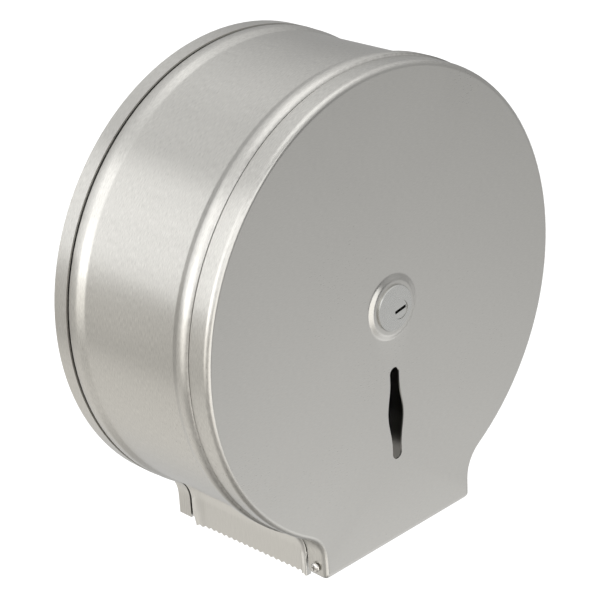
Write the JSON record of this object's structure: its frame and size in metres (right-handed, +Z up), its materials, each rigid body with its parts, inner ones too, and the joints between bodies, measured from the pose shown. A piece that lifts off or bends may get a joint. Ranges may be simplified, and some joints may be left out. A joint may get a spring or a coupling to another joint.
{
  "type": "jumbo toilet roll dispenser",
  "caption": "Wall-mounted round stainless dispenser for a jumbo toilet roll, with a lockable front door that tilts down, a view slot, a roll spindle and a toothed paper mouth.",
  "frame": {"origin": "centre of the wall fixing pattern on the wall plane, which is where the drum's axis meets the wall", "axes": "+X to the right seen from the front, +Y into the wall along the drum's axis, +Z up; the door faces -Y"},
  "size_m": [0.273, 0.1228, 0.2864],
  "materials": {
    "satin_sheet": "satin",
    "lock_chrome": "polished",
    "zinc_plate": "zinc plated",
    "screw_steel": "bright",
    "nylon": "moulded"
  },
  "bodies": {
    "housing": {"back_pan": "satin_sheet", "drum_shell": "satin_sheet", "left_cheek": "satin_sheet", "right_cheek": "satin_sheet", "spindle_flange": "zinc_plate", "spindle_rivets": "zinc_plate", "spindle_tube": "satin_sheet", "spindle_plug": "zinc_plate", "rear_washer": "nylon", "front_washer": "nylon", "lock_keeper": "zinc_plate", "keeper_screws": "screw_steel", "pivot_screws": "screw_steel", "pivot_spacers": "nylon", "pivot_washers": "zinc_plate", "pivot_nuts": "zinc_plate"},
    "door": {"front_door": "satin_sheet", "lock_body": "lock_chrome", "lock_washer": "zinc_plate", "lock_nut": "lock_chrome"},
    "lock_cylinder": {"lock_plug": "lock_chrome", "lock_cam": "zinc_plate", "cam_washer": "zinc_plate", "cam_screw": "screw_steel"},
    "hub": {"roll_hub": "nylon"}
  },
  "joints": [
    {"name": "door_hinge", "type": "hinge", "parent": "housing", "child": "door", "pos_m": [0, -0.113, -0.13821], "axis": [1, 0, 0], "range_deg": [0, 90]},
    {"name": "lock_turn", "type": "hinge", "parent": "door", "child": "lock_cylinder", "pos_m": [0.00415, -0.11, -0.00221], "axis": [0, 1, 0], "range_deg": [0, 90]},
    {"name": "hub_spin", "type": "hinge", "parent": "housing", "child": "hub", "pos_m": [0, -0.05, 0], "axis": [0, 1, 0], "continuous": true}
  ]
}
